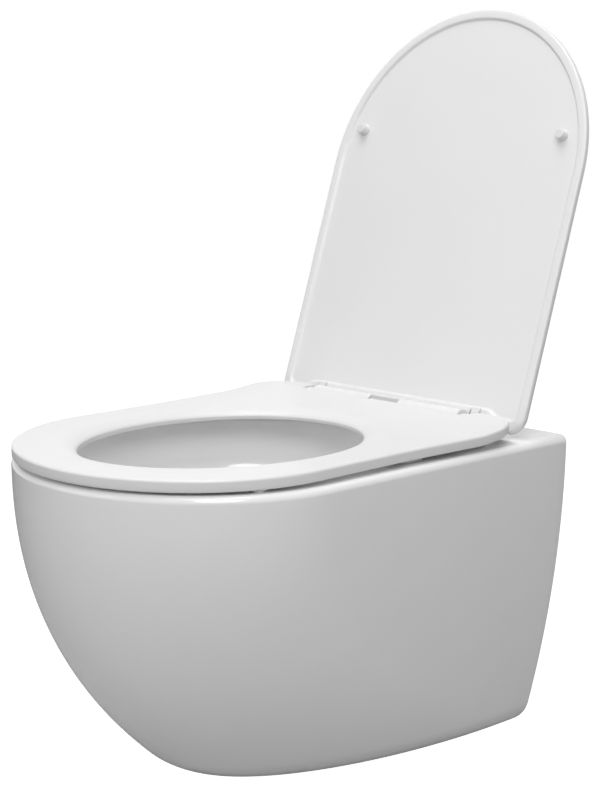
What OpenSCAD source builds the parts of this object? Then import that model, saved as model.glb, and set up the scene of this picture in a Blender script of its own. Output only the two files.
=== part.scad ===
// Wall-hung toilet: skirted rimless pan, slim seat and lid on a quick-release hinge.
// Origin at the middle of the two wall studs, on the wall. +Y points into the wall,
// +Z up, and the nose of the pan points along -Y. Sizes in millimetres.

/* [Pan] */
// Width of the pan at its widest
pan_w = 356; // [350:1:368]
// Projection from the wall to the nose
pan_l = 483; // [475:1:540]
// Length of the curved nose, seen from above
nose_l = 164; // [150:1:180]
// Height of the rim above the wall studs
rim_z = 80; // [76:1:84]
// Height of the ceramic body
pan_h = 306; // [300:1:330]
// How far each side draws in from rim to base
side_draw = 47; // [30:1:54]
// How far the nose draws back from rim to base
nose_draw = 147; // [120:1:155]
// How late the sides draw in on the way down: 1 is straight, more is fuller
side_curve = 1.9; // [1.7:0.1:2.2]
// How late the nose draws back on the way down
nose_curve = 2.7; // [2.4:0.1:2.9]
// How late the rounding of the plan reaches back towards the wall
hip_curve = 2.3; // [2:0.1:2.6]
// Where the straight sides end at the base, measured from the wall
base_side = 6; // [4:1:40]
// Thickness of the skirt
skirt_t = 12; // [9:0.5:13]
// Thickness of the rim and the rear deck
deck_t = 18; // [15:0.5:20]
// Rounding of the rim's outer edge
rim_r = 7; // [4:0.5:9]
// Rounding of the base edge
base_r = 26; // [18:1:30]

/* [Bowl] */
// Half width of the bowl at the rim
bowl_a = 147; // [140:1:150]
// Half length of the bowl at the rim
bowl_b = 166; // [160:1:168]
// Distance of the bowl's centre from the wall, at the rim
bowl_y = 276; // [274:1:280]
// Thickness of the bowl's wall
bowl_t = 11; // [9:0.5:12]
// Depth of the straight wall above the flushing ledge
ledge_z = 50; // [44:1:54]
// Width of the flushing ledge
ledge_w = 7; // [4:0.5:9]
// Depth of the bowl down to the sump
bowl_depth = 216; // [208:1:220]
// Half width of the sump
sump_a = 42; // [38:1:46]
// Distance of the sump's centre from the wall
sump_y = 225; // [220:1:232]

/* [Water ways] */
// Height of the flush inlet above the studs
inlet_z = 35; // [33:0.5:36]
// Bore of the flush inlet
inlet_d = 56; // [50:0.5:58]
// Depth of the flush inlet's bore
inlet_l = 60; // [50:1:70]
// Bore of the jet that leads from the inlet to the bowl
jet_d = 28; // [20:0.5:32]
// Distance of the waste outlet below the studs
outlet_drop = 100; // [98:1:104]
// Outer diameter of the waste spigot
spigot_d = 102; // [98:0.5:104]
// Length of the waste spigot
spigot_l = 32; // [25:1:34]
// Distance of the spigot's end from the wall
spigot_gap = 2; // [1:0.5:4]
// Bore of the trap
trap_d = 56; // [50:1:58]
// Wall of the trap
trap_t = 11; // [8:0.5:12]
// Bend radius of the trap, to the middle of the bore
trap_bend = 45; // [44:1:50]
// Height of the trap's crest below the studs, to the middle of the bore
crest_drop = 62; // [58:1:66]

/* [Wall fixing] */
// Distance between the two wall studs
stud_gap = 180; // [180:50:230]
// Hole in each bracket for the stud
stud_hole_d = 13; // [12.5:0.5:14]
// Thickness of the bracket's steel
bracket_t = 5; // [4:0.5:6]
// Width of the bracket's arm
arm_w = 32; // [26:1:34]
// Width of the bracket's wall plate
plate_w = 44; // [36:1:50]
// How far the wall plate reaches below the stud
plate_drop = 26; // [18:1:34]
// Thickness of the pad between bracket and deck
pad_t = 5; // [3:0.5:6]

/* [Hinge] */
// Distance of the hinge axis from the wall
axis_y = 66; // [62:1:68]
// Height of the hinge axis above the rim
axis_h = 13.2; // [13.1:0.1:14]
// Radius of the hinge bar's barrel
barrel_r = 10; // [9.5:0.1:10.4]
// Half length of the hinge bar
bar_half = 100; // [98:0.5:104]
// Distance between the two hinge posts
post_gap = 155; // [150:1:160]
// Diameter of the hinge posts
post_d = 12; // [11:0.5:13]
// Height of the post above its disc
post_h = 4.4; // [4.2:0.1:4.5]
// Diameter of the post's disc and gasket
disc_d = 32; // [28:1:34]
// Thickness of the post's disc
disc_t = 2; // [1.5:0.1:2]
// Thickness of the gasket under the disc
gasket_t = 1; // [0.6:0.1:1]
// Hole in the ceramic for the hinge bolt
deck_hole_d = 15; // [13:0.5:16]
// Diameter of the hinge bolt
bolt_d = 6; // [5:0.5:6.5]
// Diameter of the rotary dampers
damper_d = 10.4; // [10:0.1:10.6]
// Length of the rotary dampers
damper_l = 54; // [40:1:56]
// Diameter of the damper shafts, which are the hinge pins
shaft_d = 6.5; // [6:0.25:7]
// Radial running clearance of a shaft in its bore
shaft_play = 0.05; // [0.02:0.01:0.1]
// Thickness of the hinge bar's base plate
base_plate_t = 1.4; // [1.2:0.1:1.4]
// Width of the ears of the lid, along the hinge axis
ear_w = 11.5; // [9:0.5:12]
// Width of the knuckles of the seat, along the hinge axis
knuckle_w = 14; // [10:0.5:18]
// Gap beside each ear, along the hinge axis
ear_gap = 0.8; // [0.6:0.1:1.5]

/* [Release button] */
// Length of the release button, along the hinge bar
button_w = 38; // [30:1:40]
// Depth of the release button, front to back
button_d = 6; // [5:0.25:6.5]
// Travel of the release button and of its latches
button_travel = 3; // [2.5:0.25:3]
// Gap round the release button
button_gap = 1; // [0.75:0.05:1.2]
// How far the button lies below the surface of the barrel
button_sink = 2.4; // [0.4:0.2:2.8]
// Thickness of the latches
latch_t = 1.5; // [1.3:0.1:1.5]
// Width of the latches
latch_w = 9; // [7:0.5:10]
// How far a latch reaches into the groove of its post
latch_bite = 1.5; // [1:0.1:1.6]

/* [Seat] */
// Width of the seat across its ring
seat_w = 340; // [334:1:346]
// Width of the seat at its rear corners
seat_rear_w = 350; // [342:1:354]
// Length over which the seat widens towards its rear corners
seat_flare_l = 130; // [100:5:200]
// Distance of the seat's tip from the wall
seat_tip = 484; // [480:1:486]
// Length of the seat's curved nose, seen from above
seat_nose_l = 156; // [150:1:170]
// Distance of the seat's rear edge from the hinge axis
seat_back = 9; // [8:0.5:10]
// Thickness of the seat at the tip
seat_t = 11.5; // [10.5:0.25:12]
// How much thinner the seat is at the hinge
seat_taper = 2; // [1:0.25:2.5]
// Gap between seat and rim at the tip
seat_gap = 2; // [1.75:0.25:2.25]
// Rise of the seat's underside from tip to rear edge
seat_rise = 4.5; // [4:0.25:5]
// Further rise of the seat in front of the hinge, up to the hinge bar's height
seat_ramp = 5; // [3:0.25:5.25]
// Length of that rise
seat_ramp_l = 62; // [50:1:90]
// Radius of the seat's rear corners, seen from above
seat_corner_r = 44; // [36:1:48]
// Half width of the seat's opening
open_a = 120; // [114:1:124]
// Half length of the seat's opening
open_b = 142; // [138:1:146]
// Distance of the opening's centre from the wall
open_y = 288; // [285:1:292]
// Depth of the dished inner edge
dish = 6; // [4:0.5:6.5]
// Width of the dished inner edge
dish_w = 17; // [12:1:20]
// How far the inner edge reaches below the rest of the seat
inner_drop = 1.5; // [0:0.25:2]

/* [Lid] */
// Width of the lid
lid_w = 333; // [328:1:344]
// How far the closed lid reaches past the tip of the seat
lid_over = 4; // [1:0.5:6]
// Distance of the lid's rear edge ahead of the hinge axis
lid_rear = 5.5; // [5.25:0.25:7]
// Radius of the lid's rear corners, seen from the front
lid_corner_r = 18; // [14:1:24]
// Thickness of the lid at its raised lip
lid_t = 8; // [7:0.25:9]
// Height of the raised lip round the lid's inner face
lip_h = 2.5; // [1.5:0.25:3]
// Width of the raised lip
lip_w = 9; // [7:0.5:11]
// Distance of the lip's face from the hinge axis
lid_offset = 10.4; // [10:0.1:11.5]
// Angle of the open lid, from level
lid_angle = 108.5; // [100:0.5:110]
// Diameter of the lid's buffers
lid_buffer_d = 11; // [9:0.5:12]
// Distance of the lid's buffers from the middle
lid_buffer_x = 134; // [131:1:137]
// Distance of the lid's buffers from the hinge axis
lid_buffer_y = 291; // [284:1:298]

/* [Hidden] */

china = [0.95, 0.95, 0.94];
plastic_white = [0.97, 0.97, 0.97];
steel = [0.72, 0.73, 0.75];
grey = [0.55, 0.56, 0.57];
rubber = [0.85, 0.85, 0.84];

fit_gap = 0.3;
axis_z = rim_z + axis_h;
lid_front = seat_tip - axis_y + lid_over;
base_z = rim_z - pan_h;
deck_z = rim_z - deck_t;
post_x = post_gap / 2;
disc_z = rim_z + gasket_t;
post_z = disc_z + disc_t;
seat_slope = seat_rise / (seat_tip - axis_y + seat_back);
open_turn = -lid_angle;
ear_x = bar_half + ear_gap;
knuckle_x = ear_x + ear_w + ear_gap;
shaft_end = knuckle_x + knuckle_w;
plate_z = post_z + fit_gap;
latch_z = plate_z + base_plate_t + 0.2;
knuckle_r = shaft_d / 2 + 2.75;
notch_gap = 0.9;

// Height of the seat's underside and top above the studs, at the depth y, and its thickness there
function eased(t) = t * t * (3 - 2 * t);
function seat_up(y) = seat_ramp * eased(min(1, max(0, (y + axis_y + seat_ramp_l) / seat_ramp_l)));
function seat_low(y) = rim_z + seat_gap + seat_slope * (y + seat_tip) + seat_up(y);
function seat_thick(y) = seat_t - seat_taper * min(1, (y + seat_tip) / (seat_tip - axis_y));
function seat_high(y) = seat_low(y) + seat_thick(y);

// Shapes made by joining rings of points, each ring at its own height
function lift(ring, z) = [for (p = ring) [p[0], p[1], z]];

function middle(ring) = [for (k = [0 : 2]) sum([for (p = ring) p[k]]) / len(ring)];

function sum(list, i = 0) = i < len(list) - 1 ? list[i] + sum(list, i + 1) : list[i];

// Joins the rings in order and closes both ends. Each ring runs clockwise, seen from the last one
module skin(rings) {
  n = len(rings[0]);
  m = len(rings);
  first = n * m;
  last = first + 1;
  polyhedron(
    points = concat([for (r = rings) each r], [middle(rings[0]), middle(rings[m - 1])]),
    faces = concat(
      [for (i = [0 : n - 1]) [first, (i + 1) % n, i]],
      [for (j = [0 : m - 2]) for (i = [0 : n - 1]) each [
        [j * n + i, j * n + (i + 1) % n, (j + 1) * n + (i + 1) % n],
        [j * n + i, (j + 1) * n + (i + 1) % n, (j + 1) * n + i]
      ]],
      [for (i = [0 : n - 1]) [last, (m - 1) * n + i, (m - 1) * n + (i + 1) % n]]
    ),
    convexity = 8
  );
}

// A ring of sections that closes on itself, as the seat does
module torus_skin(sections) {
  n = len(sections[0]);
  m = len(sections);
  polyhedron(
    points = [for (s = sections) each s],
    faces = [for (j = [0 : m - 1]) for (i = [0 : n - 1]) each [
      [j * n + i, ((j + 1) % m) * n + (i + 1) % n, j * n + (i + 1) % n],
      [j * n + i, ((j + 1) % m) * n + i, ((j + 1) % m) * n + (i + 1) % n]
    ]],
    convexity = 8
  );
}

// Outline of the pan: straight sides of half width hip as far as hip_y from the wall, and half an
// ellipse on to nose_y. It starts on the plane y = back
function pan_outline(hip, hip_y, nose_y, back = 0, side_n = 4, nose_n = 11) =
  let (
    side = [for (i = [0 : side_n - 1]) [hip, i == 0 ? back : -hip_y * i / side_n]],
    nose = [for (j = [0 : 2 * nose_n]) [
      hip * cos(90 * j / nose_n),
      -hip_y - (nose_y - hip_y) * sin(90 * j / nose_n)
    ]]
  )
  concat(side, nose, [for (i = [side_n - 1 : -1 : 0]) [-side[i][0], side[i][1]]]);

// The pan's outline at height z, drawn in by inset
function pan_ring(z, inset, back = 0) =
  let (
    d = (rim_z - z) / pan_h,
    hip_full = pan_l - nose_l
  )
  lift(
    pan_outline(
      pan_w / 2 - side_draw * pow(d, side_curve) - inset,
      base_side + (hip_full - base_side) * (1 - pow(d, hip_curve)),
      pan_l - nose_draw * pow(d, nose_curve) - inset,
      back
    ),
    z
  );

module pan_outside() {
  side_levels = 9;
  top = rim_z - rim_r;
  low = base_z + base_r;
  rings = concat(
    [for (a = [90 : -30 : 30]) pan_ring(base_z + base_r * (1 - sin(a)), base_r * (1 - cos(a)))],
    [for (i = [0 : side_levels]) pan_ring(low + (top - low) * i / side_levels, 0)],
    [for (a = [22.5 : 22.5 : 90]) pan_ring(top + rim_r * sin(a), rim_r * (1 - cos(a)))]
  );
  skin(rings);
}

module pan_hollow() {
  low = base_z + skirt_t;
  inner_r = base_r - skirt_t;
  levels = 7;
  rings = concat(
    [for (a = [90, 45]) pan_ring(low + inner_r * (1 - sin(a)), skirt_t + inner_r * (1 - cos(a)), 5)],
    [for (i = [0 : levels]) pan_ring(low + inner_r + (deck_z - low - inner_r) * i / levels, skirt_t, 5)]
  );
  skin(rings);
}

function ellipse_ring(a, b, y, z, n = 40) =
  [for (i = [0 : n - 1]) [a * cos(360 * i / n), -y - b * sin(360 * i / n), z]];

// Share of the bowl's width that is left at a depth t, from 0 at the ledge to 1 at the sump
function bowl_share(t) = pow(1 - pow(t, 1.8), 0.75);

module bowl(grow, top_grow) {
  ledge = rim_z - ledge_z - 4;
  deep = rim_z - bowl_depth;
  levels = 8;
  rings = concat(
    [for (k = [[1, 0.62], [0.6, 0.92]]) ellipse_ring(
      sump_a * k[1] + grow, sump_a * k[1] * 1.1 + grow, sump_y, deep - sump_drop * k[0] - grow / 2
    )],
    [for (i = [levels : -1 : 0])
      let (
        t = i / levels,
        s = bowl_share(t),
        a = sump_a + (bowl_a - ledge_w - sump_a) * s,
        b = sump_a * 1.1 + (bowl_b - ledge_w - sump_a * 1.1) * s,
        y = bowl_y - (bowl_y - sump_y) * pow(t, 1.3)
      )
      ellipse_ring(a + grow, b + grow, y, ledge - (ledge - deep) * t)
    ],
    [
      ellipse_ring(bowl_a - 2 + grow, bowl_b - 2 + grow, bowl_y, ledge + 4),
      ellipse_ring(bowl_a + grow, bowl_b + grow, bowl_y, rim_z - 5)
    ],
    top_grow > 0
      ? [
          ellipse_ring(bowl_a + 1.5, bowl_b + 1.5, bowl_y, rim_z - 1.5),
          ellipse_ring(bowl_a + top_grow, bowl_b + top_grow, bowl_y, rim_z + 0.5)
        ]
      : []
  );
  skin(rings);
}

// The middle of the trap's bore is a path in the plane x = 0: points [y, z], each with a heading
function ahead(p, heading, length) = p + length * [cos(heading), sin(heading)];

function bend_centre(p, heading, turn) =
  p + trap_bend * sign(turn) * [-sin(heading), cos(heading)];

function along_bend(p, heading, turn, part) =
  let (out = heading + turn * part)
  bend_centre(p, heading, turn) - trap_bend * sign(turn) * [-sin(out), cos(out)];

function bend(p, heading, turn, steps) =
  [for (i = [0 : steps]) [along_bend(p, heading, turn, i / steps), heading + turn * i / steps]];

// How far the sump goes down below the bowl, how far the trap's bore reaches into it,
// and how far behind the sump's middle that bore starts
sump_drop = 60;
trap_lead = 30;
trap_set_back = 8;
rise_angle = 70;
fall_angle = -40;
trap_in = [-sump_y + trap_set_back, rim_z - bowl_depth - sump_drop + trap_d / 2];
trap_1 = along_bend(trap_in, 0, rise_angle, 1);
rise_l = (-crest_drop - trap_bend * (1 - cos(rise_angle)) - trap_1[1]) / sin(rise_angle);
trap_2 = ahead(trap_1, rise_angle, rise_l);
trap_3 = along_bend(trap_2, rise_angle, fall_angle - rise_angle, 1);
fall_l = (trap_3[1] + outlet_drop - trap_bend * (1 - cos(fall_angle))) / -sin(fall_angle);
trap_4 = ahead(trap_3, fall_angle, fall_l);
trap_path = concat(
  bend(trap_in, 0, rise_angle, 6),
  bend(trap_2, rise_angle, fall_angle - rise_angle, 9),
  bend(trap_4, fall_angle, -fall_angle, 4)
);

// The trap from the sump over the crest to the outlet, as one pipe of radius r that starts
// start_l before the first bend and ends at y = -end_y
module trap_pipe(r, start_l, end_y) {
  sides = 24;
  path = concat(
    [[trap_in - [start_l, 0], 0]],
    trap_path,
    [[[-end_y, -outlet_drop], 0]]
  );
  skin([for (q = path) [for (i = [0 : sides - 1])
    let (b = 360 * i / sides, up = r * cos(b))
    [-r * sin(b), q[0][0] - up * sin(q[1]), q[0][1] + up * cos(q[1])]]]);
}

module spigot() {
  translate([0, -spigot_gap, -outlet_drop])
    rotate([90, 0, 0])
      cylinder(h = spigot_l, d = spigot_d, $fn = 72);
}

// A cylinder along Y that runs from y = -from to y = -to
module along_y(from, to, r, z, x = 0) {
  translate([x, -from, z])
    rotate([90, 0, 0])
      cylinder(h = to - from, r = r, $fn = 64);
}

module pan() {
  inlet_r = inlet_d / 2;
  bowl_back = bowl_y - bowl_b;
  socket_end = spigot_gap + spigot_l - 6;
  color(china)
    difference() {
      union() {
        difference() {
          pan_outside();
          pan_hollow();
        }
        bowl(bowl_t, 0);
        trap_pipe(trap_d / 2 + trap_t, trap_lead - trap_t, spigot_gap + spigot_l - 2);
        spigot();
        along_y(1, bowl_back, inlet_r + 8, inlet_z);
      }
      bowl(0, 5);
      trap_pipe(trap_d / 2, trap_lead, socket_end / 2);
      along_y(-1, socket_end, trap_d / 2 + 8, -outlet_drop);
      along_y(-1, inlet_l, inlet_r, inlet_z);
      along_y(inlet_l - 1, bowl_back + 14, jet_d / 2, inlet_z);
      for (s = [-1, 1])
        translate([s * post_x, -axis_y, deck_z - 1])
          cylinder(h = deck_t + 2, d = deck_hole_d, $fn = 48);
    }
}

// The right-hand bracket; the left one is its mirror image
module wall_bracket() {
  arm_z = deck_z - pad_t - bracket_t;
  arm_l = axis_y + arm_w / 2;
  difference() {
    union() {
      translate([stud_gap / 2 - plate_w / 2, -bracket_t, -plate_drop])
        cube([plate_w, bracket_t, arm_z + bracket_t + plate_drop]);
      translate([post_x - arm_w / 2, -axis_y, arm_z])
        cube([arm_w, axis_y, bracket_t]);
      translate([post_x, -axis_y, arm_z])
        cylinder(h = bracket_t, d = arm_w, $fn = 64);
      // A rib on each side stiffens the corner between arm and plate
      for (x = [stud_gap / 2 - plate_w / 2, post_x + arm_w / 2 - bracket_t])
        translate([x, 0, arm_z])
          rotate([0, 90, 0])
            linear_extrude(bracket_t)
              polygon([[0, 0], [0, -arm_l + arm_w], [arm_z * 0.6, 0]]);
    }
    translate([stud_gap / 2, 1, 0])
      rotate([90, 0, 0])
        cylinder(h = bracket_t + 2, d = stud_hole_d, $fn = 48);
    translate([post_x, -axis_y, arm_z - 1])
      cylinder(h = bracket_t + 2, d = bolt_d, $fn = 40);
  }
}

module wall_bracket_right() {
  color(steel) wall_bracket();
}

module wall_bracket_left() {
  color(steel) mirror([1, 0, 0]) wall_bracket();
}

// Places its children at both hinge posts
module at_posts(z) {
  for (s = [-1, 1])
    translate([s * post_x, -axis_y, z])
      children();
}

// A round tube or washer, closed if bore is 0
module tube(d, h, bore) {
  difference() {
    cylinder(h = h, d = d, $fn = 64);
    if (bore > 0)
      translate([0, 0, -1])
        cylinder(h = h + 2, d = bore, $fn = 48);
  }
}

module bearing_pads() {
  color(grey) at_posts(deck_z - pad_t) tube(arm_w - 2, pad_t, bolt_d + 0.6);
}

module deck_sleeves() {
  color(grey) at_posts(deck_z) tube(deck_hole_d - 0.4, deck_t, bolt_d + 0.4);
}

module hinge_bolts() {
  low = deck_z - pad_t - bracket_t - 4;
  color(steel) at_posts(low) cylinder(h = post_z + 3 - low, d = bolt_d - 0.1, $fn = 40);
}

module post_gaskets() {
  color(rubber) at_posts(rim_z) tube(disc_d, gasket_t, bolt_d + 0.4);
}

module post_discs() {
  color(steel) at_posts(disc_z) tube(disc_d - 1, disc_t, bolt_d + 0.1);
}

groove_z = latch_z - 0.3;
groove_h = latch_t + 0.6;

module hinge_posts() {
  groove_r = post_d / 2 - latch_bite - 0.3;
  color(steel)
    at_posts(post_z)
      difference() {
        cylinder(h = post_h, d = post_d, $fn = 64);
        translate([0, 0, -1])
          cylinder(h = 4.2, d = bolt_d, $fn = 40);
        translate([0, 0, groove_z - post_z])
          difference() {
            cylinder(h = groove_h, d = post_d + 2, $fn = 64);
            translate([0, 0, -1])
              cylinder(h = groove_h + 2, r = groove_r, $fn = 64);
          }
      }
}

// A shape drawn in the plane across the hinge, with the axis at its middle, made long in X
module across(from, to) {
  translate([from, -axis_y, axis_z])
    rotate([90, 0, 90])
      linear_extrude(to - from)
        children();
}

bar_low = plate_z + base_plate_t;

module bar_profile() {
  foot = axis_z - bar_low;
  intersection() {
    union() {
      circle(barrel_r, $fn = 72);
      translate([-barrel_r, -barrel_r])
        square([2 * barrel_r, barrel_r]);
    }
    translate([-barrel_r, -foot])
      square([2 * barrel_r, foot + barrel_r]);
  }
}

latch_top = latch_z + latch_t;
button_base_z = latch_top + 8;
button_base_t = 2;
well_back = axis_y + barrel_r - button_d - 2 * button_gap;
cavity_x = button_w / 2 - 1;

module hinge_bar() {
  room = latch_w + 2 * fit_gap;
  color(plastic_white)
    difference() {
      across(-bar_half, bar_half) bar_profile();
      // Bores for the two dampers
      for (s = [-1, 1])
        translate([s * (bar_half + 1), -axis_y, axis_z])
          rotate([0, -90 * s, 0])
            cylinder(h = damper_l + 5, d = damper_d + 0.2, $fn = 56);
      at_screws(bar_low - 1)
        cylinder(h = screw_l - base_plate_t + 1.3, d = screw_d + 0.2, $fn = 24);
      // Sockets for the posts
      at_posts(bar_low - 1)
        cylinder(h = post_z + post_h - bar_low + 1.9, d = post_d + 0.4, $fn = 56);
      // Channel for the latches, open below
      translate([-post_x, -axis_y - room / 2, bar_low - 1])
        cube([2 * post_x, room, latch_top + 0.2 - bar_low + 1]);
      // Well for the button's top
      translate([-button_w / 2 - button_gap, -axis_y - barrel_r - 1, button_base_z - button_travel - 0.5])
        cube([button_w + 2 * button_gap, axis_y + barrel_r + 1 - well_back, barrel_r * 2]);
      // Cavity for the button's base, its legs and its spring
      translate([-cavity_x - fit_gap, -axis_y - barrel_r + 1.5, bar_low - 1])
        cube([2 * (cavity_x + fit_gap), barrel_r + 3, button_base_z + button_base_t + 1.5 - bar_low]);
    }
}

module hinge_base_plate() {
  color(plastic_white)
    difference() {
      translate([-bar_half + 1, -axis_y - barrel_r + 1, plate_z])
        cube([2 * bar_half - 2, 2 * barrel_r - 2, base_plate_t]);
      at_posts(plate_z - 1)
        cylinder(h = base_plate_t + 2, d = post_d + 0.4, $fn = 56);
      at_screws(plate_z - 1)
        cylinder(h = base_plate_t + 2, d = screw_d + 0.2, $fn = 24);
      at_screws(plate_z)
        translate([0, 0, -0.1])
          cylinder(h = screw_head_h + 0.1, d1 = screw_head_d + 0.4, d2 = screw_d + 0.2, $fn = 24);
    }
}

// The countersunk screws that hold the base plate under the hinge bar
screw_x = 94;
screw_d = 2.2;
screw_l = 3.9;
screw_head_d = 4;
screw_head_h = 1;

module at_screws(z) {
  for (s = [-1, 1])
    translate([s * screw_x, -axis_y, z])
      children();
}

module base_plate_screws() {
  color(steel)
    at_screws(plate_z)
      union() {
        cylinder(h = screw_l, d = screw_d, $fn = 24);
        cylinder(h = screw_head_h, d1 = screw_head_d, d2 = screw_d, $fn = 24);
      }
}

// The body of one rotary damper, on the right; the left one is its mirror image
module damper() {
  difference() {
    translate([bar_half - damper_l - 2, -axis_y, axis_z])
      rotate([0, 90, 0])
        cylinder(h = damper_l, d = damper_d, $fn = 56);
    translate([bar_half - 14, -axis_y, axis_z])
      rotate([0, 90, 0])
        cylinder(h = 20, d = shaft_d + 2 * shaft_play, $fn = 48);
  }
}

module damper_right() {
  color(grey) damper();
}

module damper_left() {
  color(grey) mirror([1, 0, 0]) damper();
}

// The shaft of one damper: round in its bearings, with a flat from key_from to key_to
module shaft(key_from, key_to) {
  flat = shaft_d / 2 - 1;
  difference() {
    translate([bar_half - 13, -axis_y, axis_z])
      rotate([0, 90, 0])
        cylinder(h = shaft_end - bar_half + 13, d = shaft_d, $fn = 48);
    translate([key_from, -axis_y - shaft_d, axis_z + flat])
      cube([key_to - key_from, 2 * shaft_d, shaft_d]);
  }
}

// The hole that a shaft turns in, or with a flat, the hole that it drives
module shaft_hole(from, to, flat = false) {
  difference() {
    translate([from, -axis_y, axis_z])
      rotate([0, 90, 0])
        cylinder(h = to - from, d = shaft_d + 2 * shaft_play, $fn = 48);
    if (flat)
      translate([from - 1, -axis_y - shaft_d, axis_z + shaft_d / 2 - 1 + shaft_play])
        cube([to - from + 2, 2 * shaft_d, shaft_d]);
  }
}

module shaft_right() {
  color(steel) shaft(knuckle_x - 1, shaft_end + 1);
}

// The lid's shaft, on the left, follows the lid, so its flat lies at the lid's angle
module shaft_left() {
  color(steel)
    mirror([1, 0, 0])
      lid_turn()
        shaft(ear_x, ear_x + ear_w);
}

module release_button() {
  color(plastic_white)
    union() {
      intersection() {
        across(-button_w / 2, button_w / 2) circle(barrel_r - button_sink, $fn = 72);
        translate([-button_w / 2, -axis_y - barrel_r, button_base_z])
          cube([button_w, button_d, 2 * barrel_r]);
      }
      translate([-cavity_x, -axis_y - barrel_r + 2, button_base_z])
        cube([2 * cavity_x, barrel_r + 2, button_base_t]);
      for (s = [0, 1])
        mirror([s, 0, 0])
          button_leg();
    }
}

// The latches' tabs and the button's legs meet on slopes of 45 degrees, so that pressing the
// button draws the latches inwards by as much as it goes down
tab_x = 8;
tab_h = 4.5;
slope_gap = 0.4;

module button_leg() {
  bottom = latch_top + button_travel + 0.2;
  at_leg(3)
    polygon([
      [tab_x + slope_gap, latch_top + tab_h],
      [tab_x + slope_gap + latch_top + tab_h - bottom, bottom],
      [tab_x + 8, bottom],
      [tab_x + 8, button_base_z + 1],
      [tab_x + slope_gap, button_base_z + 1]
    ]);
}

// A profile in X and Z, made width wide about the middle of the latches
module at_leg(width) {
  translate([0, -axis_y + width / 2, 0])
    rotate([90, 0, 0])
      linear_extrude(width)
        children();
}

module latch() {
  tip = post_x - post_d / 2 + latch_bite;
  inner = 6;
  difference() {
    union() {
      translate([inner, -axis_y - latch_w / 2, latch_z])
        cube([tip - inner, latch_w, latch_t]);
      at_leg(4)
        polygon([
          [inner, latch_top - 0.5],
          [inner, latch_top + tab_h],
          [tab_x, latch_top + tab_h],
          [tab_x + tab_h + 0.5, latch_top - 0.5]
        ]);
    }
    translate([post_x, -axis_y, latch_z - 1])
      cylinder(h = latch_t + 2, r = post_d / 2 - latch_bite, $fn = 48);
  }
}

module latch_right() {
  color(grey) latch();
}

module latch_left() {
  color(grey) mirror([1, 0, 0]) latch();
}

// A wound spring, as one unbroken tube of turns
module coil(d, wire, height, turns) {
  steps = 10;
  sides = 6;
  r = (d - wire) / 2;
  count = steps * turns;
  skin([for (k = [0 : count])
    let (
      a = 360 * k / steps,
      z = wire / 2 + (height - wire) * k / count
    )
    [for (j = [0 : sides - 1])
      let (b = 360 * j / sides)
      [(r + wire / 2 * cos(b)) * cos(a), (r + wire / 2 * cos(b)) * sin(a), z + wire / 2 * sin(b)]]
  ]);
}

module button_spring() {
  color(steel)
    translate([0, -axis_y, bar_low + 0.1])
      coil(5, 0.7, button_base_z - bar_low - 0.2, 5);
}

// The seat's outline, from one rear corner round the tip to the other
function seat_outline() =
  let (
    back = -axis_y + seat_back,
    half = seat_w / 2,
    rear = seat_rear_w / 2,
    nose_n = 12,
    side_n = 8,
    hip = -seat_tip + seat_nose_l,
    r = seat_corner_r,
    corner = [for (a = [90 : -18 : 0]) [rear - r + r * cos(a), back - r + r * sin(a)]],
    side = [for (i = [1 : side_n])
      let (
        y = (hip - back + r) * i / side_n,
        s = eased(min(1, -y / seat_flare_l))
      )
      [rear + (half - rear) * s, back - r + y]],
    nose = [for (j = [1 : 2 * nose_n - 1]) [half * cos(90 * j / nose_n), hip - seat_nose_l * sin(90 * j / nose_n)]],
    right = concat(corner, side),
    rear_n = 10,
    rear_edge = [for (i = [1 : rear_n - 1]) [(rear - r) * (2 * i / rear_n - 1), back]]
  )
  concat(right, nose, [for (i = [len(right) - 1 : -1 : 0]) [-right[i][0], right[i][1]]], rear_edge);

// The point of the seat's opening that lies in the same direction as p from its centre
function open_point(p) =
  let (
    a = atan2((p[1] + open_y) / open_b, p[0] / open_a)
  )
  [open_a * cos(a), -open_y + open_b * sin(a)];

// The seat's section between outer point o and inner point i: each corner is
// [distance from o if positive, from i if negative or zero; height from the top]
function seat_section(o, i) =
  let (
    span = norm(o - i),
    u = (i - o) / span,
    low = -seat_thick((o[1] + i[1]) / 2),
    corners = [
      [1.5, low], [0.01, low + 2], [0.01, -2.5], [0.8, -0.7], [2.6, 0],
      [-dish_w, 0], [-dish_w * 0.6, -dish * 0.15], [-dish_w * 0.3, -dish * 0.42],
      [-dish_w * 0.09, -dish * 0.78], [0, -dish - 1.2],
      [-0.6, low - inner_drop + 0.8], [-2.5, low - inner_drop], [-dish_w * 0.6, low]
    ]
  )
  [for (c = corners)
    let (q = c[0] > 0 ? o + u * c[0] : i + u * c[0])
    [q[0], q[1], seat_high(q[1]) + c[1]]];

module seat() {
  reach = barrel_r + notch_gap;
  notch_h = seat_high(-axis_y) - rim_z + 1;
  color(plastic_white)
    difference() {
      union() {
        difference() {
          torus_skin([for (o = seat_outline()) seat_section(o, open_point(o))]);
          translate([-knuckle_x, -axis_y - reach, rim_z])
            cube([2 * knuckle_x, reach + seat_back + 1, notch_h]);
        }
        for (s = [-1, 1])
          across(s > 0 ? knuckle_x : -shaft_end, s > 0 ? shaft_end : -knuckle_x)
            circle(knuckle_r, $fn = 56);
      }
      seat_swing();
      shaft_hole(-shaft_end - 1, -knuckle_x + 1);
      shaft_hole(knuckle_x - 1, shaft_end + 1, true);
      seat_buffer_row(0.15);
    }
}

// What the seat has to leave free behind the hinge axis, so that it clears the lid at any angle
module seat_swing() {
  across(-seat_rear_w, seat_rear_w)
    difference() {
      translate([0, -2 * lid_offset])
        square([3 * lid_offset, 4 * lid_offset]);
      circle(lid_offset - fit_gap, $fn = 80);
    }
}

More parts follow.
